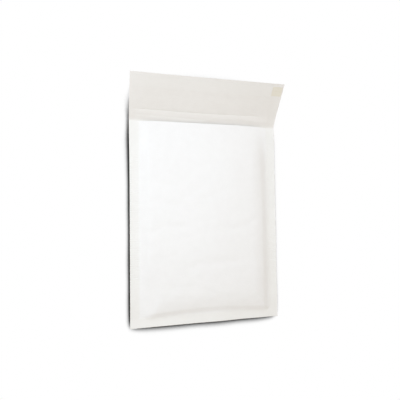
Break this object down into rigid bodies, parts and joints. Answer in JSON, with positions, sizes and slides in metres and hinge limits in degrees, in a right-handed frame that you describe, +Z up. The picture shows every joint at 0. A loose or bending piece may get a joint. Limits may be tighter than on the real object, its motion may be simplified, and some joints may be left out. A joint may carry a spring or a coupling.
{
  "type": "padded envelope",
  "caption": "White paper envelope lined with bubble film, sealed at both sides, lying on its back with its adhesive flap half open.",
  "frame": {"origin": "centre of the flat outer face of the back panel, midway along the body without its flap", "axes": "+X to the right across the envelope, +Y along it from the bottom fold to the flap, +Z up out of the front panel"},
  "size_m": [0.17, 0.2655, 0.0356],
  "materials": {
    "kraft_paper": "matt bleached paper",
    "bubble_film": "thin clear film",
    "adhesive": "tacky, slightly yellow",
    "release_paper": "silicone-coated, low sheen"
  },
  "bodies": {
    "root": {"paper_envelope": "kraft_paper", "front_bubble_lining": "bubble_film", "back_bubble_lining": "bubble_film", "adhesive_strip": "adhesive", "release_liner": "release_paper"}
  },
  "joints": []
}
